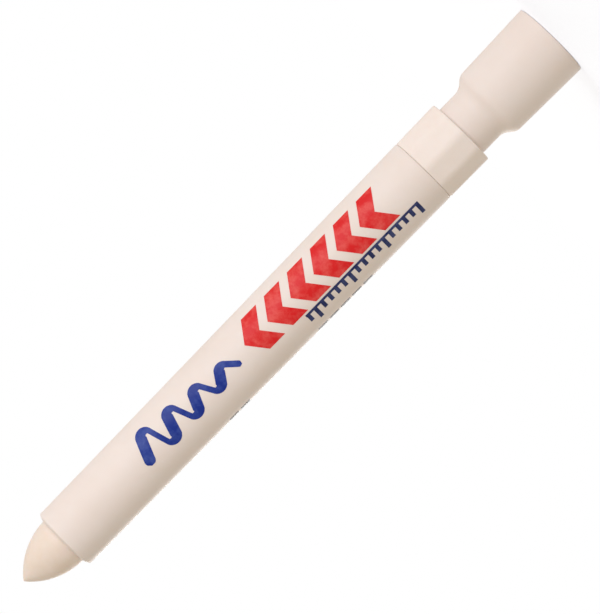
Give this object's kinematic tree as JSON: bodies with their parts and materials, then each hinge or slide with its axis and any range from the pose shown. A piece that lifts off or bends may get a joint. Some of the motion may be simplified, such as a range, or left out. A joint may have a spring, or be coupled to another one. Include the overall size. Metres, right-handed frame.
{
  "type": "solid paint marker",
  "caption": "Twist-up solid paint marker: white drafted barrel, bare ogive paint tip, faceted twist knob and a flared cap stored in the knob.",
  "frame": {"origin": "centre of the cap's rim, on which the marker stands tip up", "axes": "+Z along the marker's axis towards the paint tip, -Y towards the middle of the printed side"},
  "size_m": [0.0174, 0.0174, 0.1568],
  "materials": {
    "white_plastic": "satin warm white moulded plastic",
    "natural_plastic": "satin natural moulded plastic",
    "solid_paint": "waxy, slightly rough solid paint",
    "blue_ink": "screen-printed ink",
    "red_ink": "screen-printed ink",
    "navy_ink": "screen-printed ink",
    "grey_ink": "screen-printed ink"
  },
  "bodies": {
    "cap": {"cap": "white_plastic"},
    "knob": {"twist_knob": "white_plastic", "screw_spindle": "natural_plastic"},
    "barrel": {"barrel": "white_plastic", "print_scribble": "blue_ink", "print_chevrons": "red_ink", "print_scale": "navy_ink", "print_dashes": "grey_ink"},
    "paint": {"paint_carrier": "natural_plastic", "paint_stick": "solid_paint"}
  },
  "joints": [
    {"name": "cap_pull", "type": "slide", "parent": "cap", "child": "knob", "axis": [0, 0, 1], "range_m": [0, 0.03]},
    {"name": "knob_twist", "type": "hinge", "parent": "knob", "child": "barrel", "pos_m": [0, 0, 0.038], "axis": [0, 0, -1], "range_deg": [-950.4, 4680]},
    {"name": "paint_feed", "type": "slide", "parent": "barrel", "child": "paint", "axis": [0, 0, 1], "range_m": [-0.01321, 0.06501]}
  ],
  "couplings": [
    {"joint": "paint_feed", "follows": "knob_twist", "m_per_rad": 0.00079577}
  ]
}
